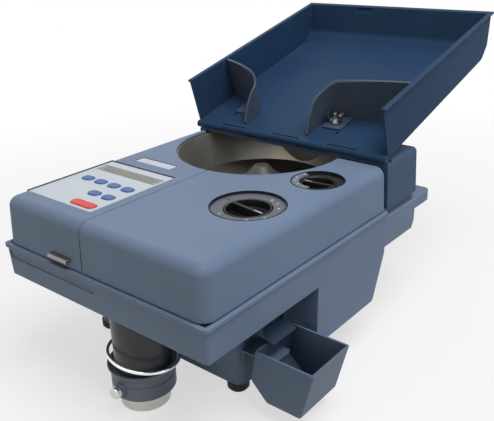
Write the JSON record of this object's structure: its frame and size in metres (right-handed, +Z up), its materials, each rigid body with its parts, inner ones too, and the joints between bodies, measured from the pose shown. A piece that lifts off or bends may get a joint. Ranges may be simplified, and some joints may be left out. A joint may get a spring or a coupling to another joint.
{
  "type": "coin sorting machine",
  "caption": "Desktop coin counter and off-sorter with a fold-out feed tray, disc hopper, setting dials, keypad, clamped bag spout and pull-out reject bin.",
  "frame": {"origin": "middle of the footprint at the table", "axes": "+Z up, +Y towards the raised end of the feed tray, +X to the side with the reject bin"},
  "size_m": [0.293, 0.509, 0.301],
  "materials": {
    "housing_plastic": "fine-grained blue-grey moulding",
    "tray_plastic": "smooth navy moulding",
    "foot_rubber": "black",
    "panel_film": "pale satin film",
    "display_glass": "olive-grey",
    "blue_key_plastic": "satin",
    "red_key_plastic": "satin",
    "black_plastic": "satin black",
    "dial_plastic": "grey",
    "bright_steel": "satin",
    "ring_chrome": "polished",
    "hopper_metal": "worn satin",
    "disc_rubber": "dark ribbed",
    "cone_plastic": "dark grey",
    "motor_metal": "dark",
    "board_plastic": "green laminate"
  },
  "bodies": {
    "housing": {"base_housing": "housing_plastic", "rubber_feet": "foot_rubber", "control_cover": "housing_plastic", "coin_path_cover": "housing_plastic", "keypad_panel": "panel_film", "display_window": "display_glass", "control_board": "board_plastic", "name_plate": "panel_film", "rear_housing": "housing_plastic", "hinge_pin": "bright_steel", "deck_plate": "hopper_metal", "hopper_bowl": "hopper_metal", "disc_bearing": "bright_steel", "drive_belt": "foot_rubber", "disc_motor": "motor_metal", "coin_track": "hopper_metal", "diameter_dial_ring": "dial_plastic", "thickness_dial_ring": "dial_plastic", "gate_bush": "black_plastic", "feed_bracket": "hopper_metal", "feed_motor": "motor_metal", "feed_belt": "foot_rubber", "count_sensor": "black_plastic", "spout_tube": "housing_plastic", "bag_collar": "housing_plastic", "outlet_tube": "bright_steel", "offsort_chute": "housing_plastic", "bin_hanger": "bright_steel", "power_inlet": "black_plastic", "switch_frame": "black_plastic", "power_supply": "motor_metal", "housing_screws": "bright_steel"},
    "feed_tray": {"coin_tray": "tray_plastic", "left_gate": "tray_plastic", "right_gate": "tray_plastic", "gate_studs": "bright_steel"},
    "right_nut": {"right_wing_nut": "bright_steel"},
    "disc": {"feed_disc": "disc_rubber", "disc_cone": "cone_plastic", "disc_shaft": "bright_steel"},
    "motor_rotor": {"motor_pulley": "bright_steel"},
    "feed_roller": {"front_roller": "bright_steel"},
    "idle_roller": {"rear_roller": "bright_steel"},
    "diameter_dial": {"diameter_knob": "black_plastic"},
    "rail": {"sliding_rail": "bright_steel"},
    "thickness_dial": {"thickness_knob": "black_plastic"},
    "gate": {"thickness_gate": "black_plastic"},
    "tray_latch": {"latch_tab": "bright_steel"},
    "bin": {"offsort_bin": "housing_plastic"},
    "ring": {"bag_ring": "ring_chrome"},
    "clamp_screw": {"thumb_screw": "bright_steel"},
    "rocker": {"power_switch": "black_plastic"},
    "red_button": {"red_key": "red_key_plastic"},
    "button_1": {"blue_key_1": "blue_key_plastic"},
    "button_2": {"blue_key_2": "blue_key_plastic"},
    "button_3": {"blue_key_3": "blue_key_plastic"},
    "button_4": {"blue_key_4": "blue_key_plastic"},
    "button_5": {"blue_key_5": "blue_key_plastic"},
    "button_6": {"blue_key_6": "blue_key_plastic"}
  },
  "joints": [
    {"name": "tray_fold", "type": "hinge", "parent": "housing", "child": "feed_tray", "pos_m": [-0.0189, 0.01815, 0.1879], "axis": [1, 0, 0], "range_deg": [0, 80]},
    {"name": "right_nut_turn", "type": "hinge", "parent": "feed_tray", "child": "right_nut", "pos_m": [0.0203, 0.05709, 0.20238], "axis": [0, -0.2684, 0.9633], "continuous": true},
    {"name": "disc_turn", "type": "hinge", "parent": "housing", "child": "disc", "pos_m": [-0.0391, 0.00115, 0.1433], "axis": [0, 0, 1], "continuous": true},
    {"name": "motor_turn", "type": "hinge", "parent": "housing", "child": "motor_rotor", "pos_m": [0.0471, -0.05415, 0.1213], "axis": [0, 0, 1], "continuous": true},
    {"name": "feed_roller_turn", "type": "hinge", "parent": "housing", "child": "feed_roller", "pos_m": [-0.00322, -0.15909, 0.1574], "axis": [0.9884, -0.1519, 0], "continuous": true},
    {"name": "idle_roller_turn", "type": "hinge", "parent": "housing", "child": "idle_roller", "pos_m": [0.00462, -0.10806, 0.1574], "axis": [0.9884, -0.1519, 0], "continuous": true},
    {"name": "diameter_turn", "type": "hinge", "parent": "housing", "child": "diameter_dial", "pos_m": [0.0545, -0.13595, 0.1822], "axis": [0, 0, 1], "range_deg": [0, 117.46]},
    {"name": "rail_slide", "type": "slide", "parent": "housing", "child": "rail", "axis": [-0.9884, 0.1519, 0], "range_m": [0, 0.0123]},
    {"name": "thickness_turn", "type": "hinge", "parent": "housing", "child": "thickness_dial", "pos_m": [0.0698, -0.05205, 0.1822], "axis": [0, 0, 1], "range_deg": [0, 270]},
    {"name": "gate_lift", "type": "slide", "parent": "housing", "child": "gate", "axis": [0, 0, 1], "range_m": [0, 0.0026]},
    {"name": "press_1", "type": "slide", "parent": "housing", "child": "button_1", "axis": [0, 0, -1], "range_m": [0, 0.0005], "stiffness_N_per_m": 1200},
    {"name": "press_2", "type": "slide", "parent": "housing", "child": "button_2", "axis": [0, 0, -1], "range_m": [0, 0.0005], "stiffness_N_per_m": 1200},
    {"name": "press_3", "type": "slide", "parent": "housing", "child": "button_3", "axis": [0, 0, -1], "range_m": [0, 0.0005], "stiffness_N_per_m": 1200},
    {"name": "press_4", "type": "slide", "parent": "housing", "child": "button_4", "axis": [0, 0, -1], "range_m": [0, 0.0005], "stiffness_N_per_m": 1200},
    {"name": "press_5", "type": "slide", "parent": "housing", "child": "button_5", "axis": [0, 0, -1], "range_m": [0, 0.0005], "stiffness_N_per_m": 1200},
    {"name": "press_6", "type": "slide", "parent": "housing", "child": "button_6", "axis": [0, 0, -1], "range_m": [0, 0.0005], "stiffness_N_per_m": 1200},
    {"name": "press_red", "type": "slide", "parent": "housing", "child": "red_button", "axis": [0, 0, -1], "range_m": [0, 0.0005], "stiffness_N_per_m": 1200},
    {"name": "latch_push", "type": "slide", "parent": "housing", "child": "tray_latch", "axis": [0, 1, 0], "range_m": [0, 0.0015], "stiffness_N_per_m": 800},
    {"name": "bin_pull", "type": "slide", "parent": "housing", "child": "bin", "axis": [1, 0, 0], "range_m": [0, 0.066]},
    {"name": "ring_lift", "type": "slide", "parent": "housing", "child": "ring", "axis": [0, 0, 1], "range_m": [0, 0.035]},
    {"name": "clamp_turn", "type": "hinge", "parent": "housing", "child": "clamp_screw", "pos_m": [-0.00905, -0.24284, 0.0276], "axis": [0.0872, -0.9962, 0], "continuous": true},
    {"name": "switch_rock", "type": "hinge", "parent": "housing", "child": "rocker", "pos_m": [-0.0013, 0.03375, 0.0546], "axis": [1, 0, 0], "range_deg": [0, 16]}
  ],
  "couplings": [
    {"joint": "motor_turn", "follows": "disc_turn", "ratio": 3.0081},
    {"joint": "idle_roller_turn", "follows": "feed_roller_turn", "ratio": 1},
    {"joint": "diameter_turn", "follows": "rail_slide", "rad_per_m": 166.67},
    {"joint": "thickness_turn", "follows": "gate_lift", "rad_per_m": 1812.5}
  ]
}
